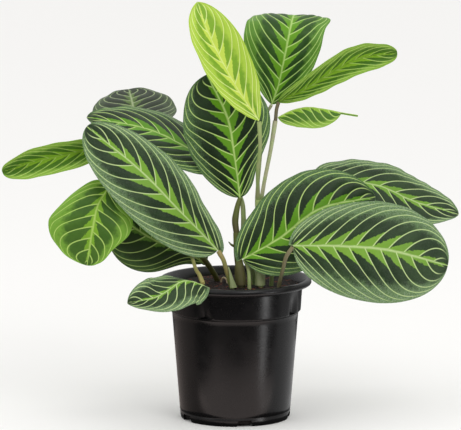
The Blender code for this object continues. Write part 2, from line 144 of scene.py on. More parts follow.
@dataclass(frozen=True)
class BladeFinish:
    """Colours of a living leaf: waxy skin over green tissue, with a painted grey sheen, and painted
    shade in some tones.
    """

    margin: str              # ground colour out to the margin
    patch: str               # dark feathered patch between the veins
    band: str                # light lobed band along the midrib
    vein: str
    under: str               # underside
    painted_sheen: float             # share of the painted grey sheen, 0 to 1
    patch_reach: float       # share of the half width that the patch reaches
    band_width: float        # share of the half width that the band reaches
    patch_strength: float = 1.0
    roughness: float = 0.42


FINISHES = {
    Tone.YOUNG: BladeFinish("#b2cf4c", "#6a9a26", "#cfe060", "#dfec9c", "#b4cb7a",
                            0.0, 0.42, 0.22, patch_strength=0.8, roughness=0.40),
    Tone.LIMY: BladeFinish("#88ae40", "#3f6a20", "#93bd36", "#b9d373", "#94ad68",
                           0.02, 0.60, 0.34, patch_strength=0.92),
    Tone.FRESH: BladeFinish("#5f8c30", "#264617", "#629616", "#b4d27a", "#8aa569",
                            0.05, 0.58, 0.27),
    Tone.BRIGHT: BladeFinish("#74a034", "#36581c", "#7aa62a", "#b0cc6a", "#8fa964",
                             0.02, 0.56, 0.24, patch_strength=0.95),
    Tone.DARK: BladeFinish("#446632", "#16290f", "#5e9412", "#bbd57f", "#7d9466",
                           0.28, 0.66, 0.25),
    # Painted sheen: a leaf greyed by light glancing off its velvety skin.
    Tone.SHEEN_LIT: BladeFinish("#5a7847", "#192e12", "#74a02e", "#bdd290", "#879878",
                              0.58, 0.60, 0.23, roughness=0.48),
    # Painted shade: a leaf lying back in shade, greyer and darker.
    Tone.GREY_SHADED: BladeFinish("#3f5030", "#1e2a16", "#566f30", "#a3b285", "#7b876b",
                            0.2, 0.68, 0.2, roughness=0.5),
    # Painted shade: a leaf in the shade of the leaves over it.
    Tone.SHADED: BladeFinish("#3a5424", "#21330f", "#55782a", "#9db364", "#657955",
                             0.04, 0.66, 0.2, roughness=0.45),
}

PAINTED_SHEEN_COLOUR = "#9bab92"         # painted sheen: white light glancing off fine hairs, laid over the green
UNDER_SHEEN_COLOUR = "#c6cfbc"          # painted sheen of the same kind on an underside

# Sizes in a leaf's skin, in millimetres.  Its cells are under 0.1 mm across, too fine to show,
# so the grain is drawn at 0.9.
GRAIN = 0.9
FRILL = 2.2                      # ruffles in the edge of the light band
MOTTLE = 4.0                     # the feathering of a dark patch
CLOUD = 22.0                     # fields that are a little paler
VEIN_HALF = 0.45                 # half width of a side vein
SKIN_RELIEF = 0.10
FINE_LINES = 9                   # fine lines from each vein to the next
CUTICLE_IOR = 1.42               # wax on a leaf or a stalk


def vein_line(material: bpy.types.Material, across: bpy.types.NodeSocket,
              wave: bpy.types.NodeSocket, rate: bpy.types.NodeSocket) -> bpy.types.NodeSocket:
    """Draw the midrib and the side veins, which thin out and fade at the margin.

    Args:
        material: The material being made.
        across: Share of the half width.
        wave: The vein count.
        rate: Veins per millimetre.

    Returns:
        1 on a vein and 0 away from it.
    """
    node = partial(add_node, material)
    ends, rib = (node("Attribute", out="Fac", attribute_name=stored)
                 for stored in ("vein_ends", "rib"))
    place = node("Math", [wave], operation="FRACT")
    away = node("Math", [place, node("Math", [1.0, place], operation="SUBTRACT")],
                operation="MINIMUM")
    distance = node("Math", [away, node("Math", [rate, 0.01], operation="MAXIMUM")],
                    operation="DIVIDE")
    width = node("Math", [across, -0.5, 1.15], operation="MULTIPLY_ADD")
    off = node("Math", [distance, width], operation="DIVIDE")
    side = ends
    # It fades past its own width, at the margin, and where veins crowd too close to tell apart.
    for value, none, full in ((off, 1.35 * VEIN_HALF, 0.45 * VEIN_HALF), (across, 1.0, 0.9),
                              (rate, 0.9, 0.4)):
        share = node("MapRange", [value, none, full], **SMOOTH)
        side = node("Math", [side, share], operation="MULTIPLY")
    return node("Math", [side, rib], operation="MAXIMUM")


def upper_skin(name: str, finish: BladeFinish) -> bpy.types.Material:
    """Make the upper face of a leaf: patterned green tissue under a thin wax.

    The eye gets a lobed light band, dark feathered patches, pale raised veins, fine lines that run
    with the veins, and a painted grey sheen, strongest towards the margin.

    Args:
        name: Name of the material.
        finish: The leaf's colours.

    Returns:
        The material.
    """
    material = bare_material(name)
    node = partial(add_node, material)
    across, wave, rate, reach = (node("Attribute", out="Fac", attribute_name=stored)
                                 for stored in ("across", "vein_wave", "vein_rate", "band_reach"))
    here = node("TexCoord", out="Object")
    mottle, grain, frill, cloud = (
        node("TexNoise", {"Vector": here, "Scale": 1 / (size * MM), "Detail": layers})
        for size, layers in ((MOTTLE, 3.0), (GRAIN, 2.0), (FRILL, 3.0), (CLOUD, 3.0)))
    place = node("Math", [wave], operation="FRACT")

    # The light band has a tooth from each vein to the next, longest next to the vein.
    tooth = node("Math", [place, 1.4], operation="POWER")
    tooth = node("Math", [tooth, 1.5, 0.30], operation="MULTIPLY_ADD")
    tooth = node("Math", [reach, tooth], operation="MULTIPLY")
    ruffled = node("Math", [frill, 0.5], operation="SUBTRACT")
    ruffled = node("Math", [ruffled, 0.16, across], operation="MULTIPLY_ADD")
    past = node("Math", [ruffled, tooth], operation="SUBTRACT")
    band = node("MapRange", [past, 0.02, -0.02], **SMOOTH)

    # The dark patch bulges half way between two veins, and its edge is feathered.
    feather = node("Math", [mottle, 0.5], operation="SUBTRACT")
    feather = node("Math", [feather, 0.35, across], operation="MULTIPLY_ADD")
    bulge = node("Math", [place, math.pi], operation="MULTIPLY")
    bulge = node("Math", [bulge], operation="SINE")
    feather = node("Math", [bulge, -0.10, feather], operation="MULTIPLY_ADD")
    patch = node("MapRange", [feather, finish.patch_reach + 0.14, finish.patch_reach - 0.12],
                 **SMOOTH)

    line = node("Math", [wave, 2 * math.pi * FINE_LINES], operation="MULTIPLY")
    line = node("Math", [line], operation="SINE")
    line = node("Math", [line, 0.5, 0.5], operation="MULTIPLY_ADD")
    roomy = node("MapRange", [rate, 0.45, 0.12], **SMOOTH)
    line = node("Math", [line, roomy], operation="MULTIPLY")

    # Painted sheen: grey-white specks over the green, strongest at the margin.
    outer = node("MapRange", [across, 0.5, 0.98], **SMOOTH)
    outer = node("Math", [outer, 0.93, 0.07], operation="MULTIPLY_ADD")
    painted_sheen = node("MapRange", [grain, 0.38, 0.68], **SMOOTH)
    painted_sheen = node("Math", [painted_sheen, outer], operation="MULTIPLY")

    paler = node("MapRange", [cloud, 0.35, 0.7], **SMOOTH)
    vein = vein_line(material, across, wave, rate)
    tissue = lay_colours(material, finish.margin, [
        (line, 0.22, finish.patch), (patch, finish.patch_strength, finish.patch),
        (band, 0.95, finish.band), (painted_sheen, finish.painted_sheen, PAINTED_SHEEN_COLOUR),
        (paler, 0.16, finish.margin), (vein, 0.92, finish.vein)])
    roughness = node("Math", [grain, 0.16, finish.roughness - 0.08], operation="MULTIPLY_ADD")
    height = node("Math", [grain, 0.7], operation="MULTIPLY")
    height = node("Math", [line, 0.3, height], operation="MULTIPLY_ADD")
    relief = node("Bump", {"Height": height, "Distance": SKIN_RELIEF * MM, "Strength": 0.5})
    skin = node("BsdfPrincipled", {
        "Base Color": tissue, "Roughness": roughness, "Normal": relief, "IOR": CUTICLE_IOR,
        "Specular IOR Level": 0.27, "Subsurface Weight": 0.06, "Subsurface Scale": 1.0,
        "Subsurface Radius": (0.4 * MM, 1.0 * MM, 0.2 * MM),
        "Sheen Weight": 0.03 + 0.12 * finish.painted_sheen, "Sheen Roughness": 0.4})
    node("OutputMaterial", [skin])
    return material


def under_skin(name: str, finish: BladeFinish) -> bpy.types.Material:
    """Make the underside of a leaf: pale matt tissue with faintly darker fields.

    Args:
        name: Name of the material.
        finish: The leaf's colours.

    Returns:
        The material.
    """
    material = bare_material(name)
    node = partial(add_node, material)
    across, wave, rate = (node("Attribute", out="Fac", attribute_name=stored)
                          for stored in ("across", "vein_wave", "vein_rate"))
    here = node("TexCoord", out="Object")
    grain = node("TexNoise", {"Vector": here, "Scale": 1 / (GRAIN * MM), "Detail": 2.0})
    inner = node("MapRange", [across, 0.75, 0.2], **SMOOTH)
    # Painted sheen: pale specks over the underside.
    down = node("MapRange", [grain, 0.4, 0.75], **SMOOTH)
    tissue = lay_colours(material, finish.under, [
        (inner, 0.22, finish.margin),
        (vein_line(material, across, wave, rate), 0.55, finish.vein), (down, 0.14, UNDER_SHEEN_COLOUR)])
    relief = node("Bump", {"Height": grain, "Distance": SKIN_RELIEF * MM, "Strength": 0.4})
    skin = node("BsdfPrincipled", {"Base Color": tissue, "Normal": relief, "Roughness": 0.6,
                                   "IOR": CUTICLE_IOR})
    node("OutputMaterial", [skin])
    return material


# ---- shared shapes -------------------------------------------------------------------------
def unit(v: object) -> np.ndarray:
    """Bring a vector, or each row of vectors, to length one."""
    v = np.asarray(v, float)
    return v / np.linalg.norm(v, axis=-1, keepdims=True)


LINE_STEPS = 24                  # points of a smooth line from each given point to the next


def smooth_line(points: list[Point]) -> tuple[np.ndarray, np.ndarray]:
    """Draw a dense smooth line through points.

    Args:
        points: The points it passes, in order.

    Returns:
        The line's points, and the distance along it at each.
    """
    p = np.asarray(points, float)
    p = np.vstack([2 * p[0] - p[1], p, 2 * p[-1] - p[-2]])
    steps = np.linspace(0, 1, LINE_STEPS, endpoint=False)[:, None]
    line = []
    for a, b, c, d in zip(p[:-3], p[1:-2], p[2:-1], p[3:]):
        line.append(0.5 * (2 * b + (c - a) * steps + (2 * a - 5 * b + 4 * c - d) * steps ** 2
                           + (3 * b - a - 3 * c + d) * steps ** 3))
    line = np.vstack(line + [p[-2:-1]])
    lengths = np.linalg.norm(np.diff(line, axis=0), axis=1)
    return line, np.concatenate([[0], np.cumsum(lengths)])


def along(line: np.ndarray, distance: np.ndarray, at: np.ndarray) -> np.ndarray:
    """Read points of a line at given distances."""
    return np.stack([np.interp(at, distance, line[:, k]) for k in range(3)], axis=-1)


def ease(value: np.ndarray, low: float, high: float) -> np.ndarray:
    """Rise smoothly from 0 at low to 1 at high."""
    t = np.clip((value - low) / (high - low), 0, 1)
    return t * t * (3 - 2 * t)


def ripple(points: np.ndarray, size: float, seed: float) -> np.ndarray:
    """Give each point a smooth random-looking height, the same each run.

    Args:
        points: Points in millimetres, one a row.
        size: Size of the ripples in millimetres.
        seed: Shifts the pattern.

    Returns:
        Heights between about -1 and 1.
    """
    total = np.zeros(points.shape[:-1])
    for k, turn in enumerate((0.0, 1.1, 2.3, 3.7, 5.2)):
        way = np.array([math.cos(turn + seed), math.sin(turn * 1.7 + seed),
                        math.cos(turn * 0.6 + 2 * seed)])
        total += np.sin(points @ way * 2 * math.pi / (size * (0.7 + 0.17 * k)) + k + seed) / 5
    return total * 1.6


def ring_faces(rings: int, sides: int) -> list[tuple[int, ...]]:
    """Join rings of points into a closed body.

    Args:
        rings: How many rings there are.
        sides: How many points each has.

    Returns:
        The faces, the last two of them the flat ends.
    """
    faces = [(row * sides + s, row * sides + (s + 1) % sides,
              (row + 1) * sides + (s + 1) % sides, (row + 1) * sides + s)
             for row in range(rings - 1) for s in range(sides)]
    return faces + [tuple(range(sides)), tuple(range((rings - 1) * sides, rings * sides))]


def turned(profile: list[tuple[float | np.ndarray, float]], angles: np.ndarray) -> np.ndarray:
    """Turn a profile round the pot's axis.

    Args:
        profile: Radius, the same all round or one for each angle, and height.
        angles: Angles from the front, in radians.

    Returns:
        The points, ring after ring.
    """
    return np.concatenate([
        np.stack([r * np.sin(angles), -r * np.cos(angles), np.full_like(angles, z)], axis=-1)
        for r, z in profile])


def sheet_faces(rows: int, columns: int) -> tuple[list, list, list]:
    """Join two grids of points, one over the other, into a thin closed body.

    Args:
        rows: Rows of each grid.
        columns: Columns of each grid.

    Returns:
        The faces of the first grid, of the second, and round the edge.
    """
    size = rows * columns
    ids = np.arange(size).reshape(rows, columns)
    quads = np.stack([ids[:-1, :-1], ids[:-1, 1:], ids[1:, 1:], ids[1:, :-1]], axis=-1)
    quads = quads.reshape(-1, 4)
    border = np.concatenate([ids[0, :-1], ids[:-1, -1], ids[-1, :0:-1], ids[:0:-1, 0]])
    after = np.roll(border, -1)
    edge = np.stack([after, border, border + size, after + size], axis=-1)
    return quads.tolist(), (quads[:, ::-1] + size).tolist(), edge.tolist()


def put(name: str, node: str, points: np.ndarray, faces: list,
        materials: list[bpy.types.Material], face_materials: list[int] | None = None,
        numbers: dict[str, np.ndarray] | None = None) -> bpy.types.Object:
    """Make a piece from points in millimetres and tie it to the frame.

    Args:
        name: The piece's name.
        node: The CAD node that it stands for.
        points: The points, one a row.
        faces: The faces, as point numbers.
        materials: The piece's materials.
        face_materials: For each face, which of the materials it takes.
        numbers: Numbers to store at each point, by name.

    Returns:
        The new object.
    """
    mesh = bpy.data.meshes.new(name)
    mesh.from_pydata((np.asarray(points) * MM).tolist(), [], faces)
    for material in materials:
        mesh.materials.append(material)
    if face_materials is not None:
        mesh.polygons.foreach_set("material_index", face_materials)
    for key, values in (numbers or {}).items():
        mesh.attributes.new(key, 'FLOAT', 'POINT').data.foreach_set(
            "value", np.asarray(values, np.float32).ravel())
    tool = bmesh.new()
    tool.from_mesh(mesh)
    bmesh.ops.recalc_face_normals(tool, faces=tool.faces)
    tool.to_mesh(mesh)
    tool.free()
    mesh.shade_smooth()
    mesh.set_sharp_from_angle(angle=SHARP)
    piece = bpy.data.objects.new(name, mesh)
    bpy.context.collection.objects.link(piece)
    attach(piece, BODY)
    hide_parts(node)
    return piece


# ---- leaves --------------------------------------------------------------------------------
@dataclass
class Blade:
    """One leaf blade, laid out from its stalk end to its tip.

    Left and right are seen from the stalk looking to the tip, with the upper face showing.
    Pairs give the left side and then the right, and angles are in degrees.
    """

    node: str
    midrib: list[Point]
    half: tuple[float, float]                    # half width
    tone: Tone
    slot: str
    face: Point = (0, -1, 0)                     # where the upper face looks at the stalk
    face_tip: Point | None = None                # and at the tip, if it turns
    turn: tuple[float, float] = (0, 1)           # shares of the length where it turns
    fold: tuple[float, float] = (8, 8)           # rise of each side at the stalk
    fold_tip: tuple[float, float] | None = None  # and at the tip
    curl: tuple[float, float] = (-25, -25)       # further rise out to the margin
    widest: float = 0.46                         # share of the length
    base_blunt: float = 0.5                      # power: the lower, the rounder the outline
    tip_blunt: float = 0.62
    lobe: tuple[float, float] = (0, 0)           # reach of each side back past the stalk
    # Swells of the outline: side, share of the length, spread in shares, and height.
    bumps: list[tuple[int, float, float, float]] = field(default_factory=list)
    tail: float = 0.0                            # share of the length that is a thin tail
    end: float = 0.7                             # half width at the stalk and at the very tip
    veins: int = 8                               # vein pairs
    band: float = 1.0                            # reach of the light band against its tone's
    quilt: float = 0.75                          # rise of the tissue between two veins

    ROWS = 150
    COLUMNS = 26
    LOOK_ROUND = 0.01        # share of the length over which the midrib's direction is taken
    LOBE_SHARE = 5           # power: how fast the back lobes fade away from the stalk
    LOBE_SPREAD = 1.5        # power: how they grow out to the margin
    SWEEP = 0.19             # how far the veins sweep to the tip, as a share of the length
    CROWD = 0.93             # how closely they crowd along the margin
    STAGGER = 0.45           # how far the right veins stand on from the left ones
    BAND_MOST = 9.0          # widest half of the light band
    RIB_HALF = (0.72, 0.32)  # half width of the midrib at the stalk and at the tip
    RIB_RELIEF = 1.1         # half width of the ridge under the midrib
    THICKNESS = 0.34
    WAVE_SIZE = 24.0         # size of the waves in the whole blade
    FLAT_RIM = 0.82          # share of the half width past which the quilting fades
    NARROW = 12              # half width under which all relief shrinks

    def half_widths(self, t: np.ndarray) -> list[np.ndarray]:
        """Find the half width of the blade's two sides.

        Args:
            t: Shares of the length.

        Returns:
            The left and the right half width.
        """
        share = np.clip(t / (1 - self.tail), 0, 1)
        rise = np.clip(1 - (1 - share / self.widest) ** 2, 0, 1) ** self.base_blunt
        fall = np.clip(1 - ((share - self.widest) / (1 - self.widest)) ** 2, 0, 1)
        outline = np.where(share < self.widest, rise, fall ** self.tip_blunt)
        sides = []
        for k in (0, 1):
            h = outline * self.half[k]
            for side, place, spread, extra in self.bumps:
                if side == k:
                    swell = np.exp(-((t - place) / spread) ** 2)
                    h = h + extra * swell * np.minimum(outline * 3, 1)
            sides.append(np.maximum(h, self.end))
        return sides

    def grid(self) -> tuple[np.ndarray, np.ndarray, np.ndarray, float]:
        """Lay out the blade's middle surface, from its left margin to its right.

        Returns:
            The points, the share of the length of each row, the half widths and the length.
        """
        line, distance = smooth_line(self.midrib)
        length = float(distance[-1])
        t = (1 - np.cos(np.pi * np.arange(self.ROWS + 1) / self.ROWS)) / 2
        middle = along(line, distance, t * length)
        near = self.LOOK_ROUND * length
        tangent = unit(along(line, distance, np.minimum(t * length + near, length))
                       - along(line, distance, np.maximum(t * length - near, 0)))
        part = np.clip((t - self.turn[0]) / (self.turn[1] - self.turn[0]), 0, 1)[:, None]
        face = unit(self.face) * (1 - part) + unit(self.face_tip or self.face) * part
        normal = unit(face - np.sum(face * tangent, axis=1, keepdims=True) * tangent)
        sideways = np.cross(tangent, normal)
        halves = self.half_widths(t)
        fold_tip = self.fold_tip or self.fold
        back = (1 - t) ** self.LOBE_SHARE
        sides = []
        for k, sign in ((0, -1), (1, 1)):
            fold = self.fold[k] * (1 - t) + fold_tip[k] * t
            place = middle.copy()
            out = [middle]
            for c in range(self.COLUMNS):
                bend = self.curl[k] * (c + 0.5) / self.COLUMNS * halves[k] / self.half[k]
                angle = np.radians(fold + bend)
                step = (halves[k] / self.COLUMNS)[:, None]
                place = place + step * (np.cos(angle)[:, None] * sign * sideways
                                        + np.sin(angle)[:, None] * normal)
                reach = ((c + 1) / self.COLUMNS) ** self.LOBE_SPREAD
                out.append(place - tangent * (self.lobe[k] * back * reach)[:, None])
            sides.append(np.stack(out, axis=1))
        left, right = sides
        points = np.concatenate([left[:, :0:-1], right], axis=1)
        return points, t, np.stack(halves), length

    def pattern(self, t: np.ndarray, halves: np.ndarray,
                length: float) -> dict[str, np.ndarray]:
        """Work out where the veins, the band and the patches run.

        The veins leave the midrib slanting to the tip and sweep along the margin.

        Args:
            t: Share of the length of each row.
            halves: Half widths of the two sides.
            length: Length of the midrib in millimetres.

        Returns:
            For each point of the grid its share across, its vein count and rate, the fade at
            the two ends, the midrib, the reach of the band, and its place between two veins.
        """
        columns = np.arange(-self.COLUMNS, self.COLUMNS + 1)
        left = columns < 0
        v = np.abs(columns) / self.COLUMNS
        across = np.tile(v, (len(t), 1))
        half = np.where(left[None, :], halves[0][:, None], halves[1][:, None])
        half_or_one = np.maximum(half, 1.0)
        body = 1 - self.tail
        sweep = self.SWEEP * np.log(1 - self.CROWD * v)
        wave = (t[:, None] / body + sweep[None, :]) * self.veins
        wave = wave + np.where(left, 0.0, self.STAGGER)[None, :]
        slope = self.SWEEP * self.CROWD / (1 - self.CROWD * v)[None, :] * self.veins
        rate = np.hypot(self.veins / (length * body), slope / half_or_one)
        rib_half = (self.RIB_HALF[0] + (self.RIB_HALF[1] - self.RIB_HALF[0]) * t)[:, None]
        rib = 1 - ease(across * half, 0.4 * rib_half, 1.4 * rib_half)
        # Veins fade at both ends, the band narrows to the tip, and crowded tissue lies flat.
        ends = ease(t, 0.0, 0.03) * (1 - ease(t, 0.93, 0.99))
        reach = self.band * FINISHES[self.tone].band_width * (1 - 0.7 * ease(t, 0.62, 1.0))
        place = wave - np.floor(wave)
        roomy = 1 - ease(rate, 0.18, 0.4)
        return {"across": across, "vein_wave": wave, "vein_rate": rate,
                "vein_ends": np.tile(ends[:, None], (1, len(v))), "rib": rib,
                "band_reach": np.minimum(reach[:, None], self.BAND_MOST / half_or_one),
                "between": np.sin(np.pi * place) ** 0.7 * roomy}

    def build(self) -> bpy.types.Object:
        """Make the blade as a thin closed leaf with quilted relief and patterned skin.

        Returns:
            The piece.
        """
        points, t, halves, length = self.grid()
        numbers = self.pattern(t, halves, length)
        normal = unit(np.cross(np.gradient(points, axis=1), np.gradient(points, axis=0)))
        across = numbers["across"]
        inside = 1 - ease(across, self.FLAT_RIM, 1.0)
        small = np.clip(np.minimum(*halves) / self.NARROW, 0, 1)[:, None]
        relief = self.quilt * (numbers.pop("between") - 0.5) * inside * small
        # The blade waves more out to its margin, and its midrib stands out mostly underneath.
        wavy = 0.25 + 0.55 * ease(across, 0.45, 1.0)
        relief += wavy * ripple(points, self.WAVE_SIZE, self.midrib[0][0]) * small
        points = points + normal * relief[..., None]
        ridge = np.exp(-(across * np.maximum(halves.max(axis=0), 1)[:, None]
                         / self.RIB_RELIEF) ** 2)[..., None]
        both = np.concatenate([points + normal * self.THICKNESS * (0.5 + 0.25 * ridge),
                               points - normal * self.THICKNESS * (0.5 + 1.0 * ridge)])
        upper, under, edge = sheet_faces(*points.shape[:2])
        finish = FINISHES[self.tone]
        skins = [upper_skin(f"{self.node}_upper_skin", finish),
                 under_skin(f"{self.node}_under_skin", finish)]
        stored = {key: np.tile(values, (2, 1)) for key, values in numbers.items()}
        return put(f"{self.node}_blade", self.node, both.reshape(-1, 3),
                   upper + under + edge, skins,
                   [0] * len(upper) + [1] * len(under) + [0] * len(edge), stored)


LIME, GREEN, GREY = "leaf_lime", "leaf_green", "leaf_grey"

BLADES = [
    Blade("leaf_top_young",
          [(20, -19, 258), (5, -20, 280), (-9, -17, 304), (-24, -9, 334), (-32, 3, 356)],
          (24, 27), Tone.YOUNG, LIME, face=(-0.25, -0.95, 0), fold=(58, -5), curl=(10, 35),
          widest=0.54, base_blunt=0.85, tip_blunt=0.75, veins=8),
    Blade("leaf_top_centre",
          [(31, 9, 268), (37, 8, 286), (43, 8, 314), (47, 14, 333), (50, 33, 341), (53, 53, 335)],
          (38, 29), Tone.FRESH, GREEN, face=(0.05, -0.95, 0.25), face_tip=(0, 0, 1),
          turn=(0.5, 0.85), curl=(-22, -22), widest=0.55, base_blunt=0.75, tip_blunt=0.45,
          bumps=[(1, 0.8, 0.1, 7)], veins=10),
    Blade("leaf_top_right",
          [(37, 6, 271), (59, 2, 282), (84, 0, 298), (107, 0, 309), (137, 2, 313)],
          (21, 17), Tone.LIMY, GREEN, face=(-0.05, -1, 0.05), fold=(60, 62), curl=(0, 0),
          fold_tip=(50, 35), widest=0.6, tip_blunt=0.45, veins=9, quilt=0.4),
    Blade("leaf_small_folded",
          [(36, 2, 258), (48, 0, 264), (62, -1, 267), (77, 0, 265), (91, 1, 262), (104, 0, 260)],
          (16, 18), Tone.LIMY, GREEN, face=(0, -0.6, 0.8), fold=(-55, -35), curl=(-10, -5),
          widest=0.55, tail=0.2, end=1.5, band=0.5, veins=7, quilt=0.35),
    Blade("leaf_centre",
          [(4, -4, 190), (-1, -8, 230), (-7, -6, 260), (-24, 6, 294)],
          (40, 33), Tone.DARK, GREEN, face=(0.05, -0.98, 0.2), fold=(5, 12), curl=(-30, -30),
          widest=0.58, base_blunt=0.62, tip_blunt=0.5,
          bumps=[(1, 0.22, 0.16, -7), (1, 0.62, 0.15, 3)], veins=9),
    Blade("leaf_front_left",
          [(-15, -24, 148), (-50, -36, 187), (-80, -36, 218), (-125, -26, 254)],
          (35, 28), Tone.SHEEN_LIT, GREY, face=(0.25, -0.9, 0.35), widest=0.5, tip_blunt=0.5,
          lobe=(0, 5), bumps=[(1, 0.2, 0.15, -4)], veins=9),
    Blade("leaf_mid_left",
          [(-6, 14, 211), (-38, 16, 228), (-75, 14, 246), (-126, 8, 257)],
          (30, 36), Tone.DARK, GREEN, face=(0.05, -0.45, 0.9), fold=(5, 5),
          curl=(-20, -20), widest=0.42, veins=9),
    Blade("leaf_back_left",
          [(-84, 46, 245), (-87, 74, 252), (-90, 102, 260), (-93, 130, 265)],
          (37, 38), Tone.GREY_SHADED, GREY, face=(-0.05, -0.4, 0.9), curl=(-30, -30), veins=8),
    Blade("leaf_far_left",
          [(-104, -8, 233), (-126, -8, 231), (-147, -10, 227), (-177, -12, 220),
           (-197, -12, 213)],
          (20, 20), Tone.LIMY, GREEN, face=(0.1, -1, 0.05), fold=(52, 50), curl=(0, 0),
          widest=0.55, tip_blunt=0.45, band=0.8, veins=8, quilt=0.4),
    Blade("leaf_left_hanging",
          [(-108, -24, 200), (-116, -32, 187), (-120, -38, 168), (-125, -36, 137)],
          (34, 40), Tone.BRIGHT, GREEN, face=(-0.1, -0.95, 0.3), widest=0.5, tip_blunt=0.6,
          lobe=(3, 8), bumps=[(0, 0.75, 0.2, -9), (1, 0.2, 0.2, -10)], band=0.6, veins=7),
    Blade("leaf_low_left",
          [(-25, 6, 131), (-39, 2, 140), (-71, -6, 155), (-104, -10, 178)],
          (32, 30), Tone.SHADED, GREEN, face=(0, -0.85, 0.5), fold=(-5, 8),
          curl=(-20, -20), widest=0.6, tip_blunt=0.5, bumps=[(0, 0.2, 0.25, -14)],
          band=0.6, veins=8),
    Blade("leaf_over_rim",
          [(-27, -63, 125), (-36, -69, 129), (-46, -74, 129), (-59, -79, 121),
           (-69, -82, 117), (-90, -84, 113)],
          (26, 24), Tone.SHEEN_LIT, GREY, face=(0, -0.8, 0.6), fold=(0, -70), fold_tip=(45, 30),
          curl=(-10, -10), widest=0.35, tip_blunt=0.6, lobe=(7, 0), band=0.5, veins=8, quilt=0.4),
    Blade("leaf_right_middle",
          [(7, -20, 140), (38, -20, 158), (72, -14, 182), (119, 0, 190)],
          (37, 37), Tone.DARK, GREEN, face=(0, -0.95, 0.3), curl=(-20, -20), lobe=(6, 0),
          veins=9),
    Blade("leaf_right_back",
          [(66, 24, 203), (94, 28, 200), (125, 30, 194), (154, 30, 181), (191, 24, 171)],
          (29, 32), Tone.SHEEN_LIT, GREY, face=(-0.05, -0.6, 0.8), curl=(-20, -20),
          band=0.75, veins=9),
    Blade("leaf_front_right",
          [(49, -37, 154), (88, -45, 155), (130, -49, 152), (179, -43, 138)],
          (42, 46), Tone.SHEEN_LIT, GREY, face=(0, -0.92, 0.35), fold=(6, 6), widest=0.55,
          tip_blunt=0.5, lobe=(4, 0), veins=10),
]


# ---- stems ---------------------------------------------------------------------------------
@dataclass(frozen=True)
class StemFinish:
    """Colours of a stem's skin: a firm green rind, in places flushed or barky."""

    name: str
    foot: str                # colour at its foot
    top: str                 # colour at its top
    flush: str               # flush that runs along it in streaks
    flush_share: float
    roughness: float = 0.45


class StemKind(Enum):
    """The kinds of stem skin on the plant."""

    GREEN = StemFinish("green_stalk_rind", "#6c8046", "#9db06a", "#a98f86", 0.25)
    PALE = StemFinish("pale_stalk_rind", "#8a9a62", "#b3bd8d", "#b39c94", 0.45)
    MAUVE = StemFinish("mauve_stalk_rind", "#53543a", "#7c7452", "#6f5650", 0.4)
    CREAM = StemFinish("cream_stalk_rind", "#5f783a", "#968c50", "#a9825c", 0.3)
    CANE = StemFinish("brown_olive_cane_rind", "#47421f", "#5c6a26", "#4d3627", 0.35, 0.55)
    SHEATH = StemFinish("pale_green_sheath_skin", "#8d9a68", "#9fb07a", "#b0a48a", 0.3, 0.5)
    BROWN_SHEATH = StemFinish("brown_sheath_skin", "#4f4c28", "#666b32", "#4d3627", 0.4, 0.55)
    ROOT = StemFinish("dry_cream_root_skin", "#c9b08c", "#d8c6a4", "#8d7354", 0.35, 0.7)


# Sizes in a rind, in millimetres.  Its pores are too fine to show, so it is speckled at 3.
SPECKLE = 3.0
FLUSH_CLOUD = 9.0                # patches of the flush
RIND_RELIEF = 0.12
STREAKS = 7                      # streaks from one side of a stem round to the other


def stem_skin(kind: StemKind) -> bpy.types.Material:
    """Make a stem's rind once, and give the same one out after that.

    The eye gets a colour that changes from foot to top, and fine streaks along the stem.

    Args:
        kind: Which rind.

    Returns:
        The material.
    """
    finish = kind.value
    made = bpy.data.materials.get(finish.name)
    if made:
        return made
    material = bare_material(finish.name)
    node = partial(add_node, material)
    share, around = (node("Attribute", out="Fac", attribute_name=stored)
                     for stored in ("share", "round"))
    here = node("TexCoord", out="Object")
    speckle, cloud = (node("TexNoise", {"Vector": here, "Scale": 1 / (size * MM), "Detail": 3.0})
                      for size in (SPECKLE, FLUSH_CLOUD))
    streak = node("Math", [around, 2 * math.pi * STREAKS], operation="MULTIPLY")
    streak = node("Math", [node("Math", [streak], operation="SINE"), 0.25, speckle],
                  operation="MULTIPLY_ADD")
    flushed = node("MapRange", [cloud, 0.4, 0.7], **SMOOTH)
    streaky = node("MapRange", [streak, 0.45, 0.9], **SMOOTH)
    tone = lay_colours(material, finish.foot, [
        (share, 1.0, finish.top), (flushed, finish.flush_share, finish.flush),
        (streaky, 0.3, finish.foot)])
    relief = node("Bump", {"Height": streak, "Distance": RIND_RELIEF * MM, "Strength": 0.6})
    skin = node("BsdfPrincipled", {
        "Base Color": tone, "Normal": relief, "Roughness": finish.roughness, "IOR": CUTICLE_IOR,
        "Subsurface Weight": 0.05, "Subsurface Scale": 1.0,
        "Subsurface Radius": (0.6 * MM, 0.9 * MM, 0.3 * MM)})
    node("OutputMaterial", [skin])
    return material


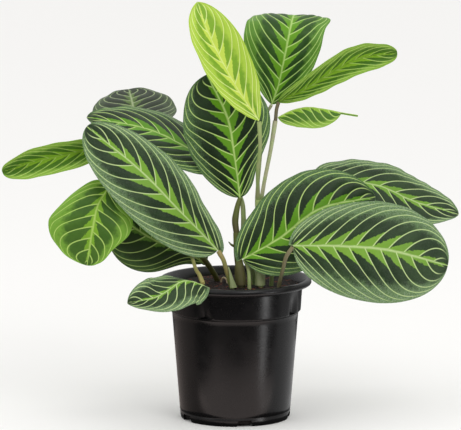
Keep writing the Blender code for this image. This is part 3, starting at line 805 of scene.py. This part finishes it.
@dataclass
class Stem:
    """A round stem along a smooth route, with its radius given along the way."""

    node: str
    route: list[Point]
    radii: tuple[float, ...]
    kind: StemKind = StemKind.GREEN
    slot: str = "stalk"
    swollen: float = 0.0         # swelling of the joint under the blade

    SIDES = 20
    STEP = 1.6                   # distance between rings
    JOINT = (0.93, 0.05)         # place and spread of the swelling, in shares of the length
    UNEVEN = 0.025               # slow change of the radius along the stem, as a share of it
    UNEVEN_LENGTH = 5.3
    RIBS = 5
    RIB_RISE = 0.02              # height of a rib, as a share of the radius

    def centre_line(self) -> tuple[np.ndarray, np.ndarray]:
        """Give the smooth route and the distance along it."""
        return smooth_line(self.route)

    def radius_at(self, share: np.ndarray) -> np.ndarray:
        """Give the radius at shares of the length."""
        return np.interp(share, np.linspace(0, 1, len(self.radii)), self.radii)

    def build(self) -> bpy.types.Object:
        """Make the stem as a closed body with flat ends and shallow ribs.

        Returns:
            The piece.
        """
        line, distance = self.centre_line()
        count = max(8, int(distance[-1] / self.STEP))
        share = np.linspace(0, 1, count)
        centres = along(line, distance, share * distance[-1])
        tangents = unit(np.gradient(centres, axis=0))
        joint = np.exp(-((share - self.JOINT[0]) / self.JOINT[1]) ** 2)
        slow = np.sin(share * distance[-1] / self.UNEVEN_LENGTH + self.route[0][0])
        radius = self.radius_at(share) * (1 + self.swollen * joint) * (1 + self.UNEVEN * slow)
        across = np.cross(tangents[0], (0.3, 1, 0.2))
        angles = 2 * np.pi * np.arange(self.SIDES) / self.SIDES
        ribbed = (1 + self.RIB_RISE * np.cos(self.RIBS * angles))[:, None]
        rings = []
        for centre, tangent, r in zip(centres, tangents, radius):
            across = unit(across - np.dot(across, tangent) * tangent)
            other = np.cross(tangent, across)
            rings.append(centre + r * ribbed * (np.cos(angles)[:, None] * across
                                                + np.sin(angles)[:, None] * other))
        numbers = {"share": np.repeat(share, self.SIDES),
                   "round": np.tile(np.abs(angles / np.pi - 1), count)}
        return put(f"{self.node}_stem", self.node, np.concatenate(rings),
                   ring_faces(count, self.SIDES), [stem_skin(self.kind)], None, numbers)


STEMS = [
    Stem("cane_main", [(6, -18, 102), (5, -17, 117), (2, -14, 142), (1, -11, 161)],
         (3.2, 3.2, 3.0, 2.8), StemKind.CANE, "cane"),
    Stem("cane_left", [(-13, 18, 102), (-15, 13, 115), (-20, 5, 126), (-28, -6, 139),
                       (-42, -14, 155), (-48, -15, 163)],
         (2.4, 2.3, 2.1), StemKind.CANE, "cane"),
    Stem("cane_right", [(21, -18, 102), (21, -14, 125), (20, -7, 150), (19.5, -5, 165),
                        (19.5, -7, 189)],
         (3.0, 2.8, 2.6)),
    Stem("shoot_right", [(19.5, -6.5, 181), (22.5, -4, 191), (25, -2.5, 205), (30, 0, 230),
                         (34, 2, 255)],
         (1.8, 1.6, 2.0), StemKind.PALE),
    Stem("stalk_centre", [(1.2, -11.6, 156.5), (1, -10.7, 161.6), (0, -8, 171), (2, -6, 183),
                          (4, -4.2, 189.4)],
         (2.3, 2.9, 1.8), StemKind.CANE),
    Stem("stalk_mid_left", [(1.5, -13, 149), (6, -6, 160), (6, 6, 182), (1, 14, 199),
                            (-5.6, 14, 210.4)],
         (1.7, 1.5)),
    Stem("stalk_back_left", [(16, -8, 103), (16, -5, 120), (12, 2, 144), (8, 10, 167),
                             (5, 18, 186), (-11, 26, 209), (-43, 30, 223), (-71, 38, 236),
                             (-83.5, 45.6, 244.5)],
         (1.8, 1.6, 1.4)),
    Stem("stalk_front_left", [(2, -25, 103), (-4, -25, 119), (-8, -26, 133), (-10, -26, 140),
                              (-14.3, -24.2, 147.4)],
         (2.0, 1.8, 2.0), StemKind.CREAM, swollen=0.12),
    Stem("stalk_over_rim", [(-40, -13, 152.5), (-38.5, -20, 150), (-36, -32, 142),
                            (-33, -45, 135), (-30, -55, 132), (-27.1, -62.3, 126)],
         (1.7, 1.5, 1.8), StemKind.CREAM, swollen=0.1),
    Stem("stalk_left_hanging", [(-45, -14.5, 159), (-52, -18, 163), (-66, -20, 172),
                                (-89, -23, 191), (-107.2, -23.6, 199.4)],
         (1.6, 1.4)),
    Stem("stalk_far_left", [(-46, -14.8, 160.5), (-48.3, -14.6, 163.6), (-64, -9, 184),
                            (-89, -7, 219), (-103.3, -8, 232.5)],
         (1.6, 1.4)),
    Stem("stalk_low_left", [(-18, 8, 122), (-21, 9, 126), (-24.6, 6.6, 130.2)],
         (1.5, 1.3)),
    Stem("stalk_top_young", [(19.4, -6.6, 184.5), (19.3, -8, 189.6), (19.2, -12.5, 200),
                             (19, -16, 215), (21, -20, 236), (20.2, -19, 257.2)],
         (1.8, 1.5, 1.9)),
    Stem("stalk_top_right", [(33.3, 1.6, 251), (34.2, 2.4, 255.6), (35, 5, 264),
                             (36.8, 6, 270.4)],
         (1.5, 1.6), StemKind.MAUVE),
    Stem("stalk_top_centre", [(19, -5, 176), (18.5, 2, 190), (22, 9, 230), (26, 12, 257),
                              (30.7, 9.2, 267.4)],
         (1.6, 1.4), StemKind.PALE),
    Stem("stalk_right_middle", [(11, -26, 103), (12, -24, 118), (11, -18, 131),
                                (7.5, -18.4, 139.2)],
         (1.8, 1.5)),
    Stem("stalk_right_back", [(30, -13, 103), (31, -7, 120), (34, 4, 144), (48, 18, 178),
                              (65.3, 24, 202.5)],
         (1.9, 1.5)),
    Stem("stalk_front_right", [(36, -30, 103), (37, -33, 119), (40, -38, 133), (43, -40, 145),
                               (48.4, -38, 153)],
         (1.9, 1.6, 1.8), StemKind.MAUVE),
    Stem("root_loop", [(-12, 5, 111), (-11.8, 4, 117), (-10.5, 2.5, 120), (-8, 1, 119.5),
                       (-6.8, 0.5, 116), (-7, 0, 111)],
         (0.6, 0.6), StemKind.ROOT, "root"),
    Stem("bud_spur", [(0, -13, 149.5), (-3.2, -13.6, 151), (-5.6, -13.8, 153.6)],
         (1.4, 0.4), StemKind.CANE, "cane"),
]


@dataclass
class Sheath:
    """A leaf sheath that wraps part of the way round a stem and ends in a point."""

    node: str
    stem: str                    # the stem that it wraps
    start: float                 # distances up that stem
    end: float
    azimuth: float               # where its middle faces, in degrees round from the front
    half_arc: float              # how far it wraps each way, in degrees
    flare: float                 # how far it stands away at its foot
    kind: StemKind = StemKind.SHEATH
    slot: str = "sheath"

    THICKNESS = 0.45
    STAND_OFF = 0.9              # from the stem's surface to the sheath's middle
    ROWS = 36
    COLUMNS = 24
    POINT_ARC = 8.0              # what is left of the wrap at the point, each way
    TAPER = 0.7                  # power: how soon the wrap narrows
    RIBS = 5
    RIB_RISE = 0.08

    def build(self, stems: dict[str, Stem]) -> bpy.types.Object:
        """Make the sheath as a thin closed shell with shallow ribs along it.

        Args:
            stems: The stems by node.

        Returns:
            The piece.
        """
        stem = stems[self.stem]
        line, distance = stem.centre_line()
        t = np.linspace(0, 1, self.ROWS + 1)
        at = self.start + (self.end - self.start) * t
        centre = along(line, distance, at)
        radius = stem.radius_at(at / distance[-1]) + self.STAND_OFF + self.flare * (1 - t)
        arc = self.half_arc * (1 - t) ** self.TAPER + self.POINT_ARC
        spread = np.linspace(-1, 1, self.COLUMNS + 1)
        angle = np.radians(self.azimuth + arc[:, None] * spread[None, :])
        out = np.stack([np.sin(angle), -np.cos(angle), np.zeros_like(angle)], axis=-1)
        ribs = self.RIB_RISE * np.cos(spread * math.pi * self.RIBS)[None, :]
        grid = centre[:, None, :] + (radius[:, None] + ribs)[..., None] * out
        half = self.THICKNESS / 2
        points = np.concatenate([grid + out * half, grid - out * half]).reshape(-1, 3)
        outer, inner, edge = sheet_faces(*grid.shape[:2])
        numbers = {"share": np.tile(np.repeat(t, self.COLUMNS + 1), 2),
                   "round": np.tile(np.abs(spread), 2 * (self.ROWS + 1))}
        return put(f"{self.node}_wrap", self.node, points, outer + inner + edge,
                   [stem_skin(self.kind)], None, numbers)


SHEATHS = [
    Sheath("sheath_main", "cane_main", 15.5, 41.0, 20, 115, 0.8, StemKind.BROWN_SHEATH, "cane"),
    Sheath("sheath_front_left", "stalk_front_left", 14.5, 33.0, 75, 80, 1.8),
    Sheath("sheath_right", "cane_right", 15.0, 38.0, 10, 110, 0.4),
]


# ---- pot -----------------------------------------------------------------------------------
@dataclass(frozen=True)
class PotFinish:
    """Black polypropylene, blow moulded: satin, with faint flow marks and dust."""

    black: str = "#0b0a0b"
    scuffed: str = "#181617"
    dust: str = "#5b5148"
    roughness: float = 0.27
    flow: float = 14.0           # size of the flow marks
    speck: float = 1.1           # size of the specks of dust
    grain: float = 0.7           # the mould's own grain is finer, so it is drawn coarser
    relief: float = 0.2
    dusty_from: float = 85.0     # heights from which dust shows, and where there is most
    dustiest: float = 118.0


def moulded_plastic(finish: PotFinish) -> bpy.types.Material:
    """Make the pot's plastic.

    The eye gets a deep satin black, soft broad highlights, small scuffs and a little soil dust
    near the lip.

    Args:
        finish: The pot's finish.

    Returns:
        The material.
    """
    material = bare_material("moulded_black_polypropylene")
    node = partial(add_node, material)
    here = node("TexCoord", out="Object")
    cloud, speck, grain = (
        node("TexNoise", {"Vector": here, "Scale": 1 / (size * MM), "Detail": detail})
        for size, detail in ((finish.flow, 4.0), (finish.speck, 2.0), (finish.grain, 2.0)))
    near_lip = node("MapRange", [node("SeparateXYZ", [here], 2), finish.dusty_from * MM,
                                 finish.dustiest * MM], **SMOOTH)
    specks = node("MapRange", [speck, 0.66, 0.8], **SMOOTH)
    dust = node("Math", [specks, near_lip], operation="MULTIPLY")
    scuffs = node("MapRange", [cloud, 0.5, 0.85], **SMOOTH)
    tone = lay_colours(material, finish.black, [
        (scuffs, 0.4, finish.scuffed), (dust, 0.55, finish.dust)])
    roughness = node("Math", [cloud, 0.22, finish.roughness - 0.1], operation="MULTIPLY_ADD")
    roughness = node("Math", [dust, 0.4, roughness], operation="MULTIPLY_ADD")
    height = node("Math", [grain, 0.2], operation="MULTIPLY")
    height = node("Math", [cloud, 0.8, height], operation="MULTIPLY_ADD")
    relief = node("Bump", {"Height": height, "Distance": finish.relief * MM, "Strength": 0.2})
    skin = node("BsdfPrincipled", {"Base Color": tone, "Roughness": roughness, "IOR": 1.49,
                                   "Normal": relief, "Specular IOR Level": 0.3})
    node("OutputMaterial", [skin])
    return material


@dataclass
class Pot:
    """The moulded nursery pot with its foot, tapered body, collar and flared lip."""

    height: float = 120.6
    rim_radius: float = 65.0
    lip_inner_radius: float = 60.2
    collar_top_z: float = 112.8
    collar_bottom_z: float = 93.5
    collar_top_radius: float = 57.2
    collar_bottom_radius: float = 55.9
    body_top_radius: float = 54.0
    base_radius: float = 46.6
    wall: float = 1.4
    floor: float = 2.0
    dent_azimuth: float = -28.0  # one of the nesting stops, in degrees round from the front
    dent_count: int = 4
    dent_depth: float = 3.2
    dent_half_angle: float = 9.0
    drain_azimuth: float = 10.0
    drain_count: int = 5
    drain_width: float = 14.0
    drain_height: float = 5.6
    drain_taper: float = 3.0     # how much narrower a slot is at its top
    drain_inner_radius: float = 30.0
    groove: float = 0.45         # depth of the groove round the foot
    seam: float = 0.35           # rise of the mould's seam under the collar
    crisp: float = 40.0          # a cut edge bent by more degrees than this is crisp
    segments: int = 288

    # Points of the rounded lip, outside to inside: how far in from the rim, and down from the top.
    LIP = ((1.6, 5.5), (0.6, 4.8), (0.0, 3.6), (0.1, 2.4), (0.6, 1.3), (1.4, 0.4), (2.5, 0.0),
           (3.6, 0.05))

    def dent(self, z: float, azimuth: np.ndarray) -> np.ndarray:
        """Find how far the nesting stops pinch the wall in.

        Args:
            z: Height.
            azimuth: Angles from the front, in degrees.

        Returns:
            The depth at each angle.
        """
        if not self.collar_bottom_z - 0.2 <= z <= self.collar_top_z:
            return np.zeros_like(azimuth)
        turn = 360.0 / self.dent_count
        off = np.abs((azimuth - self.dent_azimuth + turn / 2) % turn - turn / 2)
        depth = (self.collar_top_z - z) / (self.collar_top_z - self.collar_bottom_z)
        return self.dent_depth * depth * ease(1 - off / self.dent_half_angle, 0, 1)

    def body_radius(self, z: float) -> float:
        """Give the outer radius of the body below the collar."""
        return self.base_radius + (self.body_top_radius - self.base_radius) * z / self.collar_bottom_z

    def outside(self) -> list[tuple[float, float]]:
        """Draw the outer profile from the foot up to the lip, as (radius, z).

        Returns:
            The profile's points.
        """
        # Every edge is rounded by the few tenths of a millimetre that moulding leaves.
        foot = [(self.base_radius - 1.5, 0.0), (self.base_radius - 0.7, 0.25),
                (self.base_radius - 0.2, 1.0), (self.body_radius(3.0), 3.0),
                (self.body_radius(6.0), 6.0), (self.body_radius(6.6) - self.groove, 6.6),
                (self.body_radius(7.4) - self.groove, 7.4), (self.body_radius(8.0), 8.0)]
        wall = [(self.body_radius(z), z) for z in np.arange(11.0, self.collar_bottom_z - 3, 4.0)]
        seam_z = self.collar_bottom_z - 2.6
        seam = [(self.body_radius(seam_z) - 0.02, seam_z),
                (self.body_radius(seam_z) + self.seam, seam_z + 0.5),
                (self.body_radius(seam_z) + 0.02, seam_z + 1.0)]
        step = [(self.body_top_radius, self.collar_bottom_z - 0.6),
                (self.collar_bottom_radius - 0.5, self.collar_bottom_z - 0.35),
                (self.collar_bottom_radius, self.collar_bottom_z + 0.15)]
        spread = self.collar_top_radius - self.collar_bottom_radius
        rise = self.collar_top_z - self.collar_bottom_z
        collar = [(self.collar_bottom_radius + share * spread, self.collar_bottom_z + share * rise)
                  for share in np.linspace(0.08, 1.0, 10)]
        flare = [(self.collar_top_radius + 2.6, self.collar_top_z + 0.9)]
        flare += [(self.rim_radius - inward, self.height - down) for inward, down in self.LIP]
        flare.append((self.lip_inner_radius, self.height - 0.5))
        return foot + wall + seam + step + collar + flare

    def inside(self) -> list[tuple[float, float]]:
        """Draw the inner profile from the floor up to the collar, as (radius, z).

        Returns:
            The profile's points.
        """
        slope = [(self.body_radius(z) - self.wall, z) for z in (self.floor, 40.0, 85.0)]
        half_z = 0.5 * (self.collar_bottom_z + self.collar_top_z)
        half_r = 0.5 * (self.collar_bottom_radius + self.collar_top_radius)
        return slope + [(self.body_top_radius - self.wall, self.collar_bottom_z - 4),
                        (self.collar_bottom_radius - self.wall, self.collar_bottom_z - 0.1),
                        (half_r - self.wall, half_z),
                        (self.collar_top_radius - self.wall, self.collar_top_z)]

    def drains(self) -> bpy.types.Object:
        """Make the blocks that cut the drain slots.

        Returns:
            The cutter, to be removed after use.
        """
        tool = bmesh.new()
        for k in range(self.drain_count):
            a = math.radians(self.drain_azimuth + 360.0 * k / self.drain_count)
            out = Vector((math.sin(a), -math.cos(a), 0))
            side = Vector((math.cos(a), math.sin(a), 0))
            corners = []
            for z, width in ((-1.0, self.drain_width),
                             (self.drain_height, self.drain_width - self.drain_taper)):
                for reach, s in ((self.drain_inner_radius, -1), (self.rim_radius, -1),
                                 (self.rim_radius, 1), (self.drain_inner_radius, 1)):
                    place = (out * reach + side * s * width / 2 + Vector((0, 0, z))) * MM
                    corners.append(tool.verts.new(place))
            for quad in ((0, 1, 2, 3), (4, 5, 6, 7), (0, 1, 5, 4), (1, 2, 6, 5),
                         (2, 3, 7, 6), (3, 0, 4, 7)):
                tool.faces.new([corners[i] for i in quad])
        bmesh.ops.recalc_face_normals(tool, faces=tool.faces)
        mesh = bpy.data.meshes.new("drain_cutter")
        tool.to_mesh(mesh)
        tool.free()
        cutter = bpy.data.objects.new("drain_cutter", mesh)
        bpy.context.collection.objects.link(cutter)
        return cutter

    def build(self) -> bpy.types.Object:
        """Turn the pot, pinch its stops, cut its drain slots and dress it.

        Returns:
            The piece.
        """
        profile = self.outside() + self.inside()[::-1]
        azimuth = self.dent_azimuth + 360.0 * np.arange(self.segments) / self.segments
        points = turned([(radius - self.dent(z, azimuth), z) for radius, z in profile],
                        np.radians(azimuth))
        piece = put("nursery_pot", "pot", points,
                    ring_faces(len(profile), self.segments), [moulded_plastic(PotFinish())])
        cutter = self.drains()
        modifier = piece.modifiers.new("drain_slots", 'BOOLEAN')
        modifier.operation = 'DIFFERENCE'
        modifier.object = cutter
        bpy.context.view_layer.update()
        graph = bpy.context.evaluated_depsgraph_get()
        mesh = bpy.data.meshes.new_from_object(piece.evaluated_get(graph))
        piece.modifiers.clear()
        piece.data = mesh
        bpy.data.objects.remove(cutter, do_unlink=True)
        mesh.shade_smooth()
        mesh.set_sharp_from_angle(angle=math.radians(self.crisp))
        return piece


# ---- soil ----------------------------------------------------------------------------------
@dataclass(frozen=True)
class SoilFinish:
    """Moist peat and bark, screened to crumbs a few millimetres across."""

    dark: str = "#0e0705"
    peat: str = "#22110a"
    bark: str = "#6a2f17"
    crumb: float = 3.2           # sizes of the crumbs, of their grain, and of small flecks
    grain: float = 1.4
    fleck: float = 0.8
    relief: float = 0.8
    dark_from: float = 100.0      # heights under which it darkens, and where it is darkest
    darkest_at: float = 60.0


def peat_and_bark(finish: SoilFinish) -> bpy.types.Material:
    """Make the soil's surface: dark crumbs with reddish bits of bark.

    Args:
        finish: The soil's finish.

    Returns:
        The material.
    """
    material = bare_material("moist_peat_and_bark")
    node = partial(add_node, material)
    here = node("TexCoord", out="Object")
    fine, coarse = (node("TexNoise", {"Vector": here, "Scale": 1 / (size * MM), "Detail": 3.0})
                    for size in (finish.fleck, finish.grain))
    away, colours = (node("TexVoronoi", {"Vector": here, "Scale": 1 / (finish.crumb * MM)}, out)
                     for out in ("Distance", "Color"))
    shade = node("SeparateColor", [colours])
    # The soil darkens further down, under its top.
    deeper = node("MapRange", [node("SeparateXYZ", [here], 2), finish.dark_from * MM,
                            finish.darkest_at * MM], **SMOOTH)
    peaty, chips, flecks = (node("MapRange", [value, none, full], **SMOOTH)
                            for value, none, full in ((shade, 0.25, 0.8), (shade, 0.82, 0.9),
                                                      (fine, 0.55, 0.8)))
    tone = lay_colours(material, finish.dark, [
        (peaty, 1.0, finish.peat), (chips, 0.8, finish.bark), (flecks, 0.35, finish.bark),
        (deeper, 1.0, finish.dark)])
    height = node("Math", [coarse, away], operation="SUBTRACT")
    relief = node("Bump", {"Height": height, "Distance": finish.relief * MM, "Strength": 0.8})
    skin = node("BsdfPrincipled",
                {"Base Color": tone, "Normal": relief, "Roughness": 0.85, "IOR": 1.4})
    node("OutputMaterial", [skin])
    return material


@dataclass
class Soil:
    """The root ball and its crumbly top."""

    floor: float = 2.0
    gap: float = 0.3             # between the root ball and the pot
    edge_z: float = 114.0
    crown: float = 2.0           # rise of the middle over the edge
    shoulder: float = 1.2        # drop from the edge of the top to the upright side
    rings: int = 64
    segments: int = 220
    crumb_height: float = 0.75

    CRUMBS = ((5.2, 0.6, 0.7), (2.3, 0.5, 1.9))      # size, share of the height, and pattern
    HEAPS = (11.0, 0.35, 3.1)                        # the same for low heaps
    SINK = 0.75                                      # brings the crumbs down to the top given

    def build(self, pot: Pot) -> bpy.types.Object:
        """Make the root ball inside the pot, with crumbs on its top.

        Args:
            pot: The pot that holds it.

        Returns:
            The piece.
        """
        at_dent = np.array([pot.dent_azimuth])
        side = [(r - self.gap - float(pot.dent(z, at_dent)[0]), z) for r, z in pot.inside()]
        side[0] = (side[0][0], self.floor + self.gap)
        top_radius = side[-1][0]
        side.append((top_radius, self.edge_z - self.shoulder))
        shares = np.linspace(1.0, 0.01, self.rings)
        profile = side + [(top_radius * s, self.edge_z + self.crown * (1 - s * s))
                          for s in shares]
        points = turned(profile, 2 * np.pi * np.arange(self.segments) / self.segments)
        top = np.arange(len(points)) >= len(side) * self.segments
        crumbs = sum(share * ripple(points, size, seed) for size, share, seed in self.CRUMBS)
        size, share, seed = self.HEAPS
        crumbs = crumbs + share * np.abs(ripple(points, size, seed))
        points[:, 2] += np.where(top, self.crumb_height * (crumbs - self.SINK), 0.0)
        return put("root_ball_and_soil", "soil", points,
                   ring_faces(len(profile), self.segments), [peat_and_bark(SoilFinish())])


# ---- studio --------------------------------------------------------------------------------
@dataclass(frozen=True)
class Panel:
    """A soft rectangular light panel."""

    name: str
    place: Point                 # its middle
    size: tuple[float, float]    # width and height
    watts: float
    aim: Point = (0, 0, 160)     # the point that it faces
    tint: str = "#ffffff"
    gloss_only: bool = False     # whether it shows as a reflection and lights nothing

    def hang(self) -> None:
        """Put the panel in its place."""
        data = bpy.data.lights.new(self.name, 'AREA')
        data.shape = 'RECTANGLE'
        data.size, data.size_y = (side * MM for side in self.size)
        data.energy = self.watts
        data.color = linear(self.tint)[:3]
        light = bpy.data.objects.new(self.name, data)
        light.location = Vector(self.place) * MM
        light.visible_diffuse = not self.gloss_only
        light.visible_camera = False
        way = Vector(self.aim) - Vector(self.place)
        light.rotation_euler = way.to_track_quat('-Z', 'Y').to_euler()
        bpy.context.collection.objects.link(light)


# The sheens are what a pale table lends to the pot's wall.
PANELS = [
    Panel("key_panel", (700, -1500, 1500), (900, 900), 9.0),
    Panel("left_panel", (-1500, -900, 1100), (700, 1300), 4.0),
    Panel("right_strip", (275, -223, 50), (60, 210), 0.25, (0, 0, 50), gloss_only=True),
    Panel("front_floor_sheen", (10, -115, 2), (260, 130), 0.16, (10, -115, 1000), "#ffeee8", True),
    Panel("right_floor_sheen", (275, 115, 2), (440, 370), 0.34, (275, 115, 1000), "#ffffff", True),
    Panel("left_floor_sheen", (-275, 115, 2), (440, 370), 0.17, (-275, 115, 1000), "#ffe9df", True),
]


@dataclass
class Studio:
    """A plain pale floor, soft light from large panels, and the camera."""

    aim: Point = (-4.0, 0.0, 174.4)
    distance: float = 4000.0
    elevation: float = 9.0       # degrees over the floor
    lens: float = 367.5
    sensor: float = 36.0
    floor_half: float = 9000.0
    low_light: float = 0.06      # strength of the surround from low_sine down
    zenith_light: float = 1.35   # and straight overhead, with an even change between
    low_sine: float = -0.25      # sine of the angle at which it starts to brighten

    def floor(self) -> None:
        """Lay the pale matt floor, large enough to reach past every view."""
        reach = self.floor_half
        corners = [(-reach, -reach, 0), (reach, -reach, 0), (reach, reach, 0), (-reach, reach, 0)]
        mesh = bpy.data.meshes.new("floor")
        mesh.from_pydata([tuple(c * MM for c in corner) for corner in corners], [], [(0, 1, 2, 3)])
        material = bare_material("pale_matt_floor")
        paint = add_node(material, "BsdfPrincipled", {
            "Base Color": "#f4f3f1", "Roughness": 0.9, "IOR": 1.45, "Specular IOR Level": 0.1})
        add_node(material, "OutputMaterial", [paint])
        mesh.materials.append(material)
        floor = bpy.data.objects.new("floor", mesh)
        floor.visible_glossy = False
        bpy.context.collection.objects.link(floor)

    def camera(self) -> None:
        """Set the camera in front, a little above the plant."""
        lift = math.radians(self.elevation)
        offset = Vector((0, -math.cos(lift), math.sin(lift))) * self.distance
        data = bpy.data.cameras.new("front_camera")
        data.lens = self.lens
        data.sensor_width = self.sensor
        data.clip_end = 50.0
        camera = bpy.data.objects.new("front_camera", data)
        camera.location = (Vector(self.aim) + offset) * MM
        camera.rotation_euler = (-offset).to_track_quat('-Z', 'Y').to_euler()
        bpy.context.collection.objects.link(camera)
        bpy.context.scene.camera = camera

    def build(self) -> None:
        """Set up the floor, the panels, the white surround and the camera."""
        self.floor()
        for panel in PANELS:
            panel.hang()
        world = bpy.data.worlds.new("pale_surround")
        world.use_nodes = True
        world.node_tree.nodes.clear()
        height = add_node(world, "SeparateXYZ", [add_node(world, "TexCoord", out="Generated")], 2)
        rise = add_node(world, "MapRange", [height, self.low_sine, 1.0, self.low_light,
                                            self.zenith_light])
        sky = add_node(world, "Background", ["#ffffff", rise])
        add_node(world, "OutputWorld", [sky])
        bpy.context.scene.world = world
        bpy.context.scene.view_settings.view_transform = 'Standard'
        self.camera()


# ---- whole plant ---------------------------------------------------------------------------
def main() -> None:
    """Build the studio, the pot, the soil and the plant, and report each piece."""
    logging.basicConfig(level=logging.INFO, format="%(name)s: %(message)s")
    Studio().build()
    pot = Pot()
    pieces = [pot.build(), Soil().build(pot)]
    stems = {stem.node: stem for stem in STEMS}
    pieces += [stem.build() for stem in STEMS]
    pieces += [sheath.build(stems) for sheath in SHEATHS]
    pieces += [blade.build() for blade in BLADES]
    for piece in pieces:
        LOG.info("%s: %d faces", piece.name, len(piece.data.polygons))


if __name__ == "__main__":
    main()
